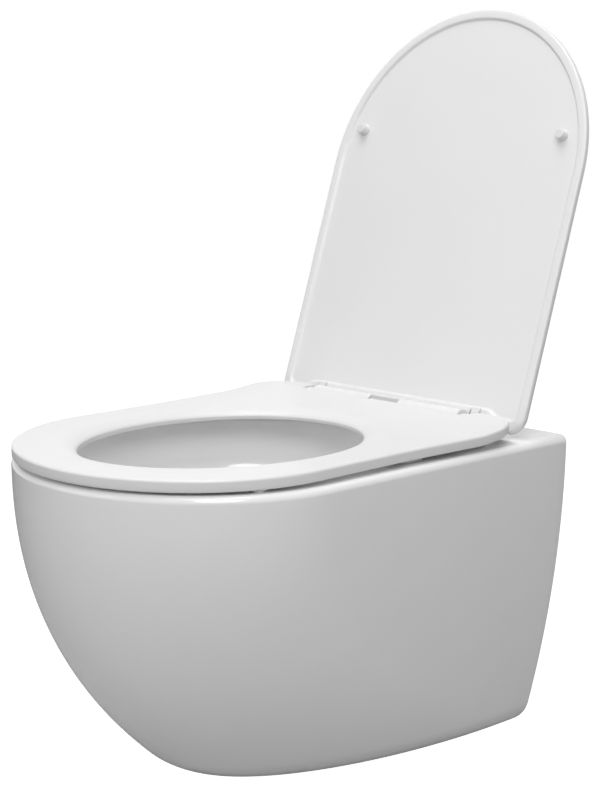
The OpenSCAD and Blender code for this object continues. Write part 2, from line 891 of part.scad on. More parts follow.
// The buffers under the seat: distance from the middle, distance from the wall and turn
seat_buffer_places = [[147, 373, 18], [155, 200, 2]];
pocket_depth = 1.5;

module seat_buffer_row(play) {
  for (p = seat_buffer_places)
    for (s = [-1, 1])
      translate([s * p[0], -p[1], 0])
        rotate([0, 0, s * p[2]])
          from_to(rim_z + fit_gap - play, seat_low(-p[1]) + pocket_depth + play)
            buffer_outline(play);
}

module buffer_outline(play) {
  half = 8;
  r = 6 + play;
  for (s = [-1, 1])
    translate([0, s * half])
      circle(r, $fn = 40);
  translate([-r, -half])
    square([2 * r, 2 * half]);
}

module from_to(low, high) {
  translate([0, 0, low])
    linear_extrude(high - low)
      children();
}

module seat_buffers() {
  color(rubber) seat_buffer_row(0);
}

// The lid is drawn lying level over the seat, with the face of its lip at z = 0 and the hinge
// axis at y = 0, and then turned about the axis to where it stands open
module lid_turn() {
  translate([0, -axis_y, axis_z])
    rotate([open_turn, 0, 0])
      translate([0, axis_y, -axis_z])
        children();
}

module lid_place() {
  lid_turn()
    translate([0, -axis_y, axis_z + lid_offset])
      children();
}

function lid_outline(inset) =
  let (
    half = lid_w / 2,
    nose_n = 13,
    nose = half,
    hip = -lid_front + nose,
    r = lid_corner_r,
    x = half - inset,
    q = max(r - inset, 1),
    back = -lid_rear - inset,
    corner = [for (a = [90 : -15 : 0]) [x - q + q * cos(a), back - q + q * sin(a)]],
    front = [for (j = [0 : 2 * nose_n]) [x * cos(90 * j / nose_n), hip - (nose - inset) * sin(90 * j / nose_n)]]
  )
  concat(corner, front, [for (i = [len(corner) - 1 : -1 : 0]) [-corner[i][0], corner[i][1]]]);

// Each step of the lid's edge, from the panel's inner face round to its back: inset and height
lid_steps = [
  [lip_w + 3, lip_h], [lip_w + 1, lip_h * 0.8], [lip_w, lip_h * 0.2], [lip_w - 0.8, 0],
  [2, 0], [0.6, 0.6], [0, 2], [0, lid_t * 0.55], [0.8, lid_t * 0.82], [3, lid_t * 0.96], [7, lid_t]
];

module lid() {
  color(plastic_white)
    lid_place()
      union() {
        skin([for (s = lid_steps) lift(lid_outline(s[0]), s[1])]);
        lid_ear(ear_x, false);
        lid_ear(-ear_x - ear_w, true);
      }
}

// An ear turns in the seat's notch, and reaches over the notch's front edge to the lid
module lid_ear(x, keyed) {
  ear_r = knuckle_r + 0.5;
  over = seat_high(-axis_y) - axis_z + 1;
  reach = lid_rear + lip_w;
  top = lid_offset + lip_h + 1;
  difference() {
    translate([x, 0, -lid_offset])
      rotate([90, 0, 90])
        linear_extrude(ear_w) {
          circle(ear_r, $fn = 56);
          polygon([[ear_r, 0], [-ear_r, 0], [-ear_r, over], [-reach, over + 0.5], [-reach, top], [-lid_rear - 1.5, top]]);
        }
    translate([0, axis_y, -axis_z - lid_offset])
      shaft_hole(x - 1, x + ear_w + 1, keyed);
  }
}

module lid_buffers() {
  high = lip_h;
  top = seat_high(-axis_y - lid_buffer_y) - axis_z + seat_slope * lid_buffer_y;
  low = top - lid_offset + 0.3;
  color(rubber)
    lid_place()
      for (s = [-1, 1])
        translate([s * lid_buffer_x, -lid_buffer_y, low])
          cylinder(h = high - low, d = lid_buffer_d, $fn = 48);
}

pan();
wall_bracket_left();
wall_bracket_right();
bearing_pads();
deck_sleeves();
hinge_bolts();
post_gaskets();
post_discs();
hinge_posts();
hinge_bar();
hinge_base_plate();
base_plate_screws();
damper_left();
damper_right();
release_button();
button_spring();
latch_left();
latch_right();
seat();
seat_buffers();
shaft_right();
lid();
lid_buffers();
shaft_left();
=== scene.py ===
import math

import bmesh
import bpy
from mathutils import Matrix, Vector


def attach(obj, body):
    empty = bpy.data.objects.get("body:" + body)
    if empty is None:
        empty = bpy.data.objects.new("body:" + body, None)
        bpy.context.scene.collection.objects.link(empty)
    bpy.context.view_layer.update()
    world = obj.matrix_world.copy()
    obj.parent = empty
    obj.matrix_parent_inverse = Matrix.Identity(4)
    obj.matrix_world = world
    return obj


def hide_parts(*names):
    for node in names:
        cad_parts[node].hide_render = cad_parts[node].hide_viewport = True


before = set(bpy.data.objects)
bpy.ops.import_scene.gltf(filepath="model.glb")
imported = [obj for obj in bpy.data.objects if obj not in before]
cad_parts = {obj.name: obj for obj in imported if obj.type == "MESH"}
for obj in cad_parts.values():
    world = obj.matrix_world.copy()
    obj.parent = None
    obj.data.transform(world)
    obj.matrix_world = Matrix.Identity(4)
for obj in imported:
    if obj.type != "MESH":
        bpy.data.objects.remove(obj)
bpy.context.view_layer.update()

# Sizes of the object in millimetres, the same as in the CAD source
PAN_W, PAN_L, NOSE_L, RIM_Z, PAN_H = 356, 483, 164, 80, 306
SIDE_DRAW, NOSE_DRAW, BASE_SIDE = 47, 147, 6
SIDE_CURVE, NOSE_CURVE, HIP_CURVE = 1.9, 2.7, 2.3
SKIRT_T, DECK_T, RIM_R, RIM_LIP, BASE_R = 12, 18, 7, 5, 26
BOWL_A, BOWL_B, BOWL_Y, BOWL_T = 147, 166, 276, 11
LEDGE_Z, LEDGE_W, LEDGE_R, BOWL_DEPTH, SUMP_A, SUMP_Y = 50, 7, 4, 216, 42, 225
INLET_Z, INLET_D, INLET_L, INLET_T, JET_D = 35, 56, 60, 8, 28
OUTLET_DROP, SPIGOT_D, SPIGOT_L, SPIGOT_GAP = 100, 102, 32, 2
SOCKET_STEP, SOCKET_SHORT = 8, 6
TRAP_D, TRAP_T, TRAP_BEND, CREST_DROP = 56, 11, 45, 62
RISE_ANGLE, FALL_ANGLE = 70, -40
SUMP_DROP, TRAP_LEAD, TRAP_SET_BACK = 60, 30, 8
AXIS_Y, AXIS_H, BARREL_R, BAR_HALF, POST_X = 66, 13.2, 10, 100, 77.5
DECK_HOLE_D = 15
SHAFT_D, SHAFT_PLAY, NOTCH_GAP = 6.5, 0.05, 0.9
EAR_W, EAR_GAP, KNUCKLE_W, KNUCKLE_T = 11.5, 0.8, 14, 2.75
SEAT_W, SEAT_REAR_W, SEAT_TIP, SEAT_NOSE_L, SEAT_BACK = 340, 350, 484, 156, 9
SEAT_T, SEAT_TAPER, SEAT_GAP, SEAT_RISE, SEAT_CORNER_R, SEAT_FLARE_L = 11.5, 2, 2, 4.5, 44, 130
SEAT_RAMP, SEAT_RAMP_L = 5, 62
OPEN_A, OPEN_B, OPEN_Y, DISH, DISH_W, INNER_DROP = 120, 142, 288, 6, 17, 1.5
LID_W, LID_OVER, LID_REAR, LID_CORNER_R = 333, 4, 5.5, 18
LID_T, LIP_H, LIP_W, LID_OFFSET, LID_ANGLE = 8, 2.5, 9, 10.4, 108.5
LID_BUFFER_D, LID_BUFFER_X, LID_BUFFER_Y, LID_BUFFER_GAP = 11, 134, 291, 0.3

# Only here: the lid's rear corners reach back by LID_TAIL from TAIL_X outwards,
# and less on the faces, down to none at the inset TAIL_FADE
LID_TAIL, TAIL_X, TAIL_FADE = 10.5, 118, 30

AXIS_Z = RIM_Z + AXIS_H
LID_FRONT = SEAT_TIP - AXIS_Y + LID_OVER
BASE_Z = RIM_Z - PAN_H
DECK_Z = RIM_Z - DECK_T
SEAT_SLOPE = SEAT_RISE / (SEAT_TIP - AXIS_Y + SEAT_BACK)
EAR_X = BAR_HALF + EAR_GAP
KNUCKLE_X = EAR_X + EAR_W + EAR_GAP
SHAFT_END = KNUCKLE_X + KNUCKLE_W
KNUCKLE_R = SHAFT_D / 2 + KNUCKLE_T
SUMP_B = SUMP_A * 1.1
MM = 0.001


def eased(t):
    """Rises from 0 to 1 with level ends."""
    t = min(1.0, max(0.0, t))
    return t * t * (3 - 2 * t)


def seat_low(y):
    """Height of the seat's underside at the depth y."""
    up = SEAT_RAMP * eased((y + AXIS_Y + SEAT_RAMP_L) / SEAT_RAMP_L)
    return RIM_Z + SEAT_GAP + SEAT_SLOPE * (y + SEAT_TIP) + up


def seat_thick(y):
    return SEAT_T - SEAT_TAPER * min(1, (y + SEAT_TIP) / (SEAT_TIP - AXIS_Y))


def seat_high(y):
    return seat_low(y) + seat_thick(y)


def turns(count, start=0.0, end=360.0):
    """Angles in radians from start to end, given in degrees, in count steps."""
    return [math.radians(start + (end - start) * i / count) for i in range(count + 1)]


# Mesh helpers. Points are in millimetres and become metres in the mesh
def mesh_object(name, points, faces):
    mesh = bpy.data.meshes.new(name)
    mesh.from_pydata([(x * MM, y * MM, z * MM) for x, y, z in points], [], faces)
    shape = bmesh.new()
    shape.from_mesh(mesh)
    bmesh.ops.remove_doubles(shape, verts=shape.verts, dist=1e-7)
    bmesh.ops.recalc_face_normals(shape, faces=shape.faces)
    shape.to_mesh(mesh)
    shape.free()
    obj = bpy.data.objects.new(name, mesh)
    bpy.context.collection.objects.link(obj)
    return obj


def skin(name, rings):
    """Joins closed rings of as many points each, and closes both ends."""
    n = len(rings[0])
    points = [p for ring in rings for p in ring]
    faces = []
    for j in range(len(rings) - 1):
        for i in range(n):
            k = (i + 1) % n
            faces.append((j * n + i, j * n + k, (j + 1) * n + k, (j + 1) * n + i))
    for j in (0, len(rings) - 1):
        mid = [sum(p[k] for p in rings[j]) / n for k in range(3)]
        points.append(mid)
        for i in range(n):
            faces.append((len(points) - 1, j * n + i, j * n + (i + 1) % n))
    return mesh_object(name, points, faces)


def loop_skin(name, sections):
    """Joins sections that go round and meet again."""
    n, m = len(sections[0]), len(sections)
    points = [p for section in sections for p in section]
    faces = []
    for j in range(m):
        for i in range(n):
            a, b = j * n, ((j + 1) % m) * n
            k = (i + 1) % n
            faces.append((a + i, b + i, b + k, a + k))
    return mesh_object(name, points, faces)


def prism(name, outline, low, high, place):
    """A flat outline made solid from low to high, each point set by place(u, v, w)."""
    return skin(name, [[place(u, v, w) for u, v in outline] for w in (low, high)])


def circle_points(r, count=64):
    return [(r * math.cos(a), r * math.sin(a)) for a in turns(count)[:-1]]


def upright(x, y):
    return lambda u, v, w: (x + u, y + v, w)


def across(u, v, w):
    return (w, -AXIS_Y + u, AXIS_Z + v)


def combine(obj, others, operation):
    """Cuts others from obj, or joins them to it, and removes them."""
    for other in others:
        mod = obj.modifiers.new("shape", "BOOLEAN")
        mod.operation = operation
        mod.solver = "EXACT"
        mod.object = other
    graph = bpy.context.evaluated_depsgraph_get()
    graph.update()
    mesh = bpy.data.meshes.new_from_object(obj.evaluated_get(graph))
    old = obj.data
    obj.modifiers.clear()
    obj.data = mesh
    mesh.name = obj.name
    bpy.data.meshes.remove(old)
    for other in others:
        data = other.data
        bpy.data.objects.remove(other)
        bpy.data.meshes.remove(data)
    return obj


def smooth(obj, angle=32):
    mesh = obj.data
    mesh.polygons.foreach_set("use_smooth", [True] * len(mesh.polygons))
    mesh.set_sharp_from_angle(angle=math.radians(angle))
    return obj


# The pan
def pan_ring(z, inset, back=0.0, corner=2.5):
    """The skirt's outline at the height z, moved in by inset, with its rear end at back."""
    d = max((RIM_Z - z) / PAN_H, 0.0)
    hip = PAN_W / 2 - SIDE_DRAW * d ** SIDE_CURVE - inset
    hip_y = BASE_SIDE + (PAN_L - NOSE_L - BASE_SIDE) * (1 - d ** HIP_CURVE)
    nose_y = PAN_L - NOSE_DRAW * d ** NOSE_CURVE - inset
    turn = [
        (hip - corner + corner * math.sin(a), back - corner + corner * math.cos(a))
        for a in turns(4, 0, 90)
    ]
    side = [(hip, back - corner - (hip_y + back - corner) * i / 28) for i in range(1, 28)]
    nose = [(hip * math.cos(a), -hip_y - (nose_y - hip_y) * math.sin(a)) for a in turns(96, 0, 180)]
    right = turn + side
    rear = [((hip - corner) * (2 * i / 24 - 1), back) for i in range(1, 24)]
    return [(x, y, z) for x, y in right + nose + [(-x, y) for x, y in reversed(right)] + rear]


def bowl_rings(grow, count, top):
    """Rings of the bowl from the top down: half width, half length, centre's distance, height."""
    ledge = RIM_Z - LEDGE_Z - LEDGE_R
    deep = RIM_Z - BOWL_DEPTH
    rings = [(BOWL_A + grow, BOWL_B + grow, BOWL_Y, z) for z in top]
    for up, inward in ((4, 2), (2.8, 2.5), (1.6, 3.7), (0.7, 5.3)):
        rings.append((BOWL_A - inward + grow, BOWL_B - inward + grow, BOWL_Y, ledge + up))
    for i in range(count + 1):
        t = (i / count) ** 1.1
        s = (1 - t ** 1.8) ** 0.75
        rings.append((
            SUMP_A + (BOWL_A - LEDGE_W - SUMP_A) * s + grow,
            SUMP_B + (BOWL_B - LEDGE_W - SUMP_B) * s + grow,
            BOWL_Y - (BOWL_Y - SUMP_Y) * t ** 1.3,
            ledge - (ledge - deep) * t,
        ))
    for i in range(1, 9):
        u = i / 8
        share = 1 - 0.38 * u ** 3.2
        floor_z = deep - SUMP_DROP * u - grow / 2
        rings.append((SUMP_A * share + grow, SUMP_B * share + grow, SUMP_Y, floor_z))
    for share, drop in ((0.45, 2.2), (0.2, 3.4)):
        floor_z = deep - SUMP_DROP - drop - grow / 2
        rings.append((SUMP_A * share + grow * share, SUMP_B * share + grow * share, SUMP_Y, floor_z))
    return rings


def ellipse(a, b, y, z, angles):
    return [(a * math.cos(t), -y + b * math.sin(t), z) for t in angles]


def ahead(p, heading, length):
    return (p[0] + length * math.cos(heading), p[1] + length * math.sin(heading))


def bend(p, heading, turn, steps):
    """Points of the trap's middle line on a bend that starts at p: y, z and heading in radians."""
    side = math.copysign(TRAP_BEND, turn)
    centre = (p[0] - side * math.sin(heading), p[1] + side * math.cos(heading))
    out = []
    for i in range(steps + 1):
        h = heading + turn * i / steps
        out.append((centre[0] + side * math.sin(h), centre[1] - side * math.cos(h), h))
    return out


def trap_path():
    """The trap's middle line: up out of the sump, over the crest and down to the outlet."""
    rise, fall = math.radians(RISE_ANGLE), math.radians(FALL_ANGLE)
    first = bend((-SUMP_Y + TRAP_SET_BACK, RIM_Z - BOWL_DEPTH - SUMP_DROP + TRAP_D / 2), 0, rise, 16)
    y, z, _ = first[-1]
    rise_l = (-CREST_DROP - TRAP_BEND * (1 - math.cos(rise)) - z) / math.sin(rise)
    second = bend(ahead((y, z), rise, rise_l), rise, fall - rise, 26)
    y, z, _ = second[-1]
    fall_l = (z + OUTLET_DROP - TRAP_BEND * (1 - math.cos(fall))) / -math.sin(fall)
    third = bend(ahead((y, z), fall, fall_l), fall, -fall, 10)
    return first + second + third


def trap_pipe(name, r, start_l, end_y):
    """A pipe along the trap, begun start_l before its first bend and ended end_y from the wall."""
    path = trap_path()
    y, z, _ = path[0]
    path = [(y - start_l, z, 0.0)] + path + [(-end_y, -OUTLET_DROP, 0.0)]
    rings = []
    for y, z, h in path:
        rings.append([
            (r * math.sin(b), y - r * math.cos(b) * math.sin(h), z + r * math.cos(b) * math.cos(h))
            for b in turns(56)[:-1]
        ])
    return skin(name, rings)


def along_y(name, start, end, r, z):
    return prism(name, circle_points(r, 72), start, end, lambda u, v, w: (u, -w, z + v))


def build_pan():
    low = BASE_Z + BASE_R
    top = RIM_Z - RIM_R
    rings = [
        pan_ring(BASE_Z + BASE_R * (1 - math.sin(a)), BASE_R * (1 - math.cos(a)))
        for a in turns(12, 90, 7)
    ]
    rings += [pan_ring(low + (top - low) * i / 64, 0) for i in range(65)]
    rings += [pan_ring(top + RIM_R * math.sin(a), RIM_R * (1 - math.cos(a))) for a in turns(10, 0, 90)[1:]]
    angles = [math.atan2((y + BOWL_Y) / BOWL_B, x / BOWL_A) for x, y, _ in rings[-1]]
    for a in turns(8, 90, 0):
        grow = RIM_LIP * (1 - math.cos(a))
        z = RIM_Z - RIM_LIP + RIM_LIP * math.sin(a)
        rings.append(ellipse(BOWL_A + grow, BOWL_B + grow, BOWL_Y, z, angles))
    wall = LEDGE_Z - RIM_LIP - LEDGE_R
    for a, b, y, z in bowl_rings(0, 44, [RIM_Z - RIM_LIP - wall * i / 6 for i in range(1, 7)]):
        rings.append(ellipse(a, b, y, z, angles))
    body = skin("pan_glazed", rings)

    # The room behind the skirt is open at the wall, so its cutter ends past the back
    room_low = BASE_Z + SKIRT_T
    room_r = BASE_R - SKIRT_T
    past, corner = 5.0, 1.0
    room = [
        pan_ring(room_low + room_r * (1 - math.sin(a)), SKIRT_T + room_r * (1 - math.cos(a)), past, corner)
        for a in turns(6, 90, 0)
    ]
    start = room_low + room_r
    room += [pan_ring(start + (DECK_Z - start) * i / 30, SKIRT_T, past, corner) for i in range(1, 31)]
    hollow = skin("hollow", room)
    even = turns(120)[:-1]
    bowl_outside = skin("bowl_outside", [
        ellipse(a, b, y, z, even) for a, b, y, z in bowl_rings(BOWL_T, 30, [RIM_Z - RIM_LIP])
    ])
    spigot_end = SPIGOT_GAP + SPIGOT_L
    socket_end = spigot_end - SOCKET_SHORT
    bowl_back = BOWL_Y - BOWL_B
    combine(hollow, [
        bowl_outside,
        trap_pipe("trap_outside", TRAP_D / 2 + TRAP_T, TRAP_LEAD - TRAP_T, spigot_end - 2),
        along_y("spigot", SPIGOT_GAP, spigot_end, SPIGOT_D / 2, -OUTLET_DROP),
        along_y("inlet_outside", 1, bowl_back, INLET_D / 2 + INLET_T, INLET_Z),
    ], "DIFFERENCE")
    cutters = [
        hollow,
        trap_pipe("trap_bore", TRAP_D / 2, TRAP_LEAD, socket_end / 2),
        along_y("outlet_bore", -1, socket_end, TRAP_D / 2 + SOCKET_STEP, -OUTLET_DROP),
        along_y("inlet_bore", -1, INLET_L, INLET_D / 2, INLET_Z),
        along_y("jet", INLET_L - 1, bowl_back + JET_D / 2, JET_D / 2, INLET_Z),
    ]
    hole = circle_points(DECK_HOLE_D / 2, 40)
    for s in (-1, 1):
        cutters.append(prism("deck_hole", hole, DECK_Z - 1, RIM_Z + 1, upright(s * POST_X, -AXIS_Y)))
    combine(body, cutters, "DIFFERENCE")
    return smooth(body)


# The seat
def seat_outline():
    back, half, rear = -AXIS_Y + SEAT_BACK, SEAT_W / 2, SEAT_REAR_W / 2
    hip = -SEAT_TIP + SEAT_NOSE_L
    r = SEAT_CORNER_R
    corner = [(rear - r + r * math.cos(a), back - r + r * math.sin(a)) for a in turns(14, 90, 0)]
    side = []
    for i in range(1, 49):
        y = (hip - back + r) * i / 48
        side.append((rear + (half - rear) * eased(-y / SEAT_FLARE_L), back - r + y))
    nose = [(half * math.cos(a), hip - SEAT_NOSE_L * math.sin(a)) for a in turns(96, 0, 180)[1:-1]]
    right = corner + side
    rear_edge = [((rear - r) * (2 * i / 60 - 1), back) for i in range(1, 60)]
    return right + nose + [(-x, y) for x, y in reversed(right)] + rear_edge


def open_point(p):
    """The point of the seat's opening that belongs to a point p of its outline."""
    a = math.atan2((p[1] + OPEN_Y) / OPEN_B, p[0] / OPEN_A)
    return (OPEN_A * math.cos(a), -OPEN_Y + OPEN_B * math.sin(a))


def seat_section(o, i):
    """The ring's section from o, on the outline, to i, on the opening. Its top is dished at i."""
    span = math.hypot(o[0] - i[0], o[1] - i[1])
    u = ((i[0] - o[0]) / span, (i[1] - o[1]) / span)
    low_r, top_r, in_r, step = 2.0, 2.6, 1.6, 0.4
    low = -seat_thick((o[1] + i[1]) / 2)
    outer = [(low_r * (1 - math.sin(a)), low + low_r * (1 - math.cos(a))) for a in turns(5, 0, 90)]
    outer += [(top_r * (1 - math.cos(a)), -top_r * (1 - math.sin(a))) for a in turns(7, 0, 90)]
    inner = [(-DISH_W * v, -(DISH + step) * (1 - v) ** 2.1) for v in [1 - k / 14 for k in range(14)]]
    inner += [
        (-in_r * (1 - math.sin(a)) * 0.6, -DISH - step - in_r * (1 - math.cos(a)))
        for a in turns(4, 30, 90)
    ]
    inner += [(-0.1, -DISH - 2.4)]
    inner += [(d, low - INNER_DROP + h) for d, h in ((-0.6, 0.8), (-1.3, 0.2), (-2.5, 0))]
    inner += [(-DISH_W * 0.6, low)]
    section = []
    for d, h in outer:
        x, y = o[0] + u[0] * d, o[1] + u[1] * d
        section.append((x, y, seat_high(y) + h))
    for k in range(1, 5):
        part = k / 5
        x = (o[0] + u[0] * top_r) * (1 - part) + (i[0] - u[0] * DISH_W) * part
        y = (o[1] + u[1] * top_r) * (1 - part) + (i[1] - u[1] * DISH_W) * part
        section.append((x, y, seat_high(y)))
    for d, h in inner:
        x, y = i[0] + u[0] * d, i[1] + u[1] * d
        section.append((x, y, seat_high(y) + h))
    return section


def box(name, low, high):
    (x0, y0, z0), (x1, y1, z1) = low, high
    return prism(name, [(x0, y0), (x1, y0), (x1, y1), (x0, y1)], z0, z1, lambda u, v, w: (u, v, w))


def shaft_bore(start, end, place):
    return prism("shaft_bore", circle_points(SHAFT_D / 2 + SHAFT_PLAY, 40), start, end, place)


def build_seat():
    seat = loop_skin("seat_ring", [seat_section(o, open_point(o)) for o in seat_outline()])
    front = -AXIS_Y - BARREL_R - NOTCH_GAP
    past = 60
    notch = box("notch", (-KNUCKLE_X, front, RIM_Z), (KNUCKLE_X, front + past, RIM_Z + past))
    combine(seat, [notch], "DIFFERENCE")
    # The knuckles start a hair off the notch's faces: on them, the next cut fails
    start = KNUCKLE_X + 0.01
    knuckles = [
        prism("knuckle", circle_points(KNUCKLE_R, 48), a, b, across)
        for a, b in ((start, SHAFT_END), (-SHAFT_END, -start))
    ]
    combine(seat, knuckles, "UNION")
    # The room that the lid's panel sweeps as it turns behind the axis
    r = LID_OFFSET - 0.3
    far = 3 * LID_OFFSET
    arc = [(r * math.cos(a), r * math.sin(a)) for a in turns(40, -90, 90)]
    swing = arc + [(0, far), (far, far), (far, -far), (0, -far)]
    combine(seat, [
        prism("swing", swing, -SEAT_REAR_W, SEAT_REAR_W, across),
        shaft_bore(-SHAFT_END - 1, -KNUCKLE_X + 1, across),
        shaft_bore(KNUCKLE_X - 1, SHAFT_END + 1, across),
    ], "DIFFERENCE")
    return smooth(seat)


# The lid, drawn level with the hinge axis as origin, and turned to where it stands open
def lid_outline(inset):
    """The lid's outline moved in by inset, from the middle of its rear edge round to the start."""
    half = LID_W / 2
    hip = -LID_FRONT + half
    x, q, back = half - inset, max(LID_CORNER_R - inset, 1.0), -LID_REAR - inset
    tip = back + LID_TAIL * max(1 - inset / TAIL_FADE, 0)
    tail = [
        (TAIL_X + (x - q - TAIL_X) * i / 12, back + (tip - back) * eased(i / 7))
        for i in range(12)
    ]
    corner = [(x - q + q * math.cos(a), tip - q + q * math.sin(a)) for a in turns(14, 90, 0)]
    side = [(x, tip - q + (hip - tip + q) * i / 20) for i in range(1, 20)]
    front = [(x * math.cos(a), hip - (half - inset) * math.sin(a)) for a in turns(110, 0, 180)]
    right = tail + corner + side
    return right + front + [(-u, v) for u, v in reversed(right)]


def lid_profile():
    """Insets and heights from the underside's face over the lip and the edge to the top's face."""
    low_r, top_r, mid = 2.2, 3.6, LID_T * 0.52
    steps = [(LIP_W + 12, LIP_H), (LIP_W + 4, LIP_H)]
    for k in range(1, 9):
        t = k / 8
        steps.append((LIP_W + 2.4 - 3.2 * t, LIP_H * (1 - eased(t))))
    steps += [(low_r - low_r * math.sin(a), low_r * (1 - math.cos(a))) for a in turns(6, 0, 90)]
    steps.append((0, mid))
    for a in turns(7, 0, 90)[1:]:
        steps.append((top_r * (1 - math.cos(a)), mid + LID_T * 0.44 * math.sin(a)))
    steps += [(7, LID_T * 0.985), (14, LID_T), (40, LID_T)]
    return steps


def stand_open(obj):
    axis = Matrix.Translation(Vector((0, -AXIS_Y * MM, AXIS_Z * MM)))
    obj.data.transform(axis @ Matrix.Rotation(math.radians(-LID_ANGLE), 4, "X"))
    return obj


def level(u, v, w):
    return (w, u, v)


def build_lid():
    lid = skin("lid_panel", [
        [(x, y, LID_OFFSET + h) for x, y in lid_outline(inset)]
        for inset, h in lid_profile()
    ])
    ear_r = KNUCKLE_R + 0.5
    over = seat_high(-AXIS_Y) - AXIS_Z + 1
    reach = LID_REAR + LIP_W
    top = LID_OFFSET + LIP_H + 1
    arm = [(ear_r, 0), (-ear_r, 0), (-ear_r, over), (-reach, over + 0.5), (-reach, top), (-LID_REAR - 1.5, top)]
    ears, holes = [], []
    for a in (EAR_X, -EAR_X - EAR_W):
        ears.append(prism("ear", circle_points(ear_r, 56), a, a + EAR_W, level))
        ears.append(prism("ear_arm", arm, a, a + EAR_W, level))
        holes.append(shaft_bore(a - 1, a + EAR_W + 1, level))
    combine(lid, ears, "UNION")
    combine(lid, holes, "DIFFERENCE")
    return smooth(stand_open(lid))


def build_lid_buffers():
    """Two soft buffers with a domed end, pressed into the lid's panel."""
    tip = seat_high(-AXIS_Y - LID_BUFFER_Y) - AXIS_Z + SEAT_SLOPE * LID_BUFFER_Y + LID_BUFFER_GAP
    foot = LID_OFFSET + LIP_H
    r = LID_BUFFER_D / 2
    draw, dome = 0.4, 1.4
    profile = [(r - draw, foot + 0.6), (r, foot - 0.3), (r - 0.15, foot - 1.2), (r - draw, tip + 1.6)]
    profile += [(r - draw - dome * (1 - math.cos(a)), tip + dome * (1 - math.sin(a))) for a in turns(5, 10, 90)]
    profile.append((r - 3.6, tip + 0.15))
    points, faces = [], []
    count = 48
    for s in (-1, 1):
        first = len(points)
        for rad, z in profile:
            points += [(s * LID_BUFFER_X + rad * math.cos(a), -LID_BUFFER_Y + rad * math.sin(a), z)
                       for a in turns(count)[:-1]]
        for j in range(len(profile) - 1):
            for i in range(count):
                k = (i + 1) % count
                faces.append((first + j * count + i, first + j * count + k,
                              first + (j + 1) * count + k, first + (j + 1) * count + i))
        faces.append(tuple(first + i for i in range(count)))
        last = first + (len(profile) - 1) * count
        faces.append(tuple(last + i for i in reversed(range(count))))
    return smooth(stand_open(mesh_object("lid_buffer_pair", points, faces)))


# Materials
def node(tree, kind, values=(), **settings):
    """A new node with the values of its named sockets set, and its own settings."""
    made = tree.nodes.new(kind)
    for key, value in settings.items():
        setattr(made, key, value)
    for key, value in dict(values).items():
        made.inputs[key].default_value = value
    return made


NOISE_SPAN = (0.3, 0.7)


def finish_material(name, color, roughness, grain, bump, **sockets):
    """A surface whose tone and gloss drift slightly, with a fine bump. grain is a scale per metre."""
    mat = bpy.data.materials.new(name)
    mat.use_nodes = True
    tree = mat.node_tree
    link = tree.links.new
    shader = tree.nodes["Principled BSDF"]
    for key, value in sockets.items():
        shader.inputs[key.replace("_", " ")].default_value = value
    place = node(tree, "ShaderNodeTexCoord")
    broad = node(tree, "ShaderNodeTexNoise", {"Scale": grain[0], "Detail": 3})
    fine = node(tree, "ShaderNodeTexNoise", {"Scale": grain[1], "Detail": 4})
    for tex in (broad, fine):
        link(place.outputs["Object"], tex.inputs["Vector"])
    tone = node(tree, "ShaderNodeValToRGB")
    for element, at, shade in zip(tone.color_ramp.elements, NOISE_SPAN, color):
        element.position = at
        element.color = (*shade, 1)
    link(broad.outputs["Fac"], tone.inputs["Fac"])
    link(tone.outputs["Color"], shader.inputs["Base Color"])
    gloss = node(tree, "ShaderNodeMapRange", {
        "From Min": NOISE_SPAN[0], "From Max": NOISE_SPAN[1], "To Min": roughness[0], "To Max": roughness[1],
    })
    link(fine.outputs["Fac"], gloss.inputs["Value"])
    link(gloss.outputs["Result"], shader.inputs["Roughness"])
    relief = node(tree, "ShaderNodeBump", {"Strength": bump[0], "Distance": bump[1]})
    link(fine.outputs["Fac"], relief.inputs["Height"])
    link(relief.outputs["Normal"], shader.inputs["Normal"])
    return mat


# Each: name, darkest and palest tone, least and most roughness, broad and fine grain, bump's strength and depth
china = finish_material(
    "china", ((0.893, 0.895, 0.895), (0.907, 0.907, 0.905)), (0.12, 0.16), (14, 60), (0.03, 0.0004),
    Coat_Weight=0.5, Coat_Roughness=0.06, IOR=1.52)
duroplast = finish_material(
    "duroplast", ((0.795, 0.795, 0.795), (0.805, 0.805, 0.802)), (0.3, 0.34), (10, 30), (0.01, 0.0002),
    IOR=1.5)
white_plastic = finish_material(
    "white_plastic", ((0.8, 0.8, 0.8), (0.82, 0.82, 0.815)), (0.3, 0.4), (30, 700), (0.08, 0.0002),
    IOR=1.49)
soft_white = finish_material(
    "soft_white", ((0.7, 0.7, 0.69), (0.76, 0.76, 0.75)), (0.4, 0.52), (60, 900), (0.1, 0.0002),
    Subsurface_Weight=0.15, Subsurface_Scale=0.003)
rubber = finish_material(
    "rubber", ((0.09, 0.09, 0.095), (0.13, 0.13, 0.13)), (0.6, 0.75), (50, 900), (0.25, 0.0003))
nylon = finish_material(
    "nylon", ((0.3, 0.305, 0.31), (0.35, 0.355, 0.36)), (0.42, 0.55), (40, 800), (0.15, 0.0003))
stainless = finish_material(
    "stainless", ((0.55, 0.55, 0.56), (0.66, 0.66, 0.67)), (0.29, 0.36), (60, 1200), (0.12, 0.0001),
    Metallic=1.0)
zinc_steel = finish_material(
    "zinc_steel", ((0.5, 0.52, 0.54), (0.66, 0.67, 0.68)), (0.3, 0.45), (90, 600), (0.15, 0.0002),
    Metallic=1.0)

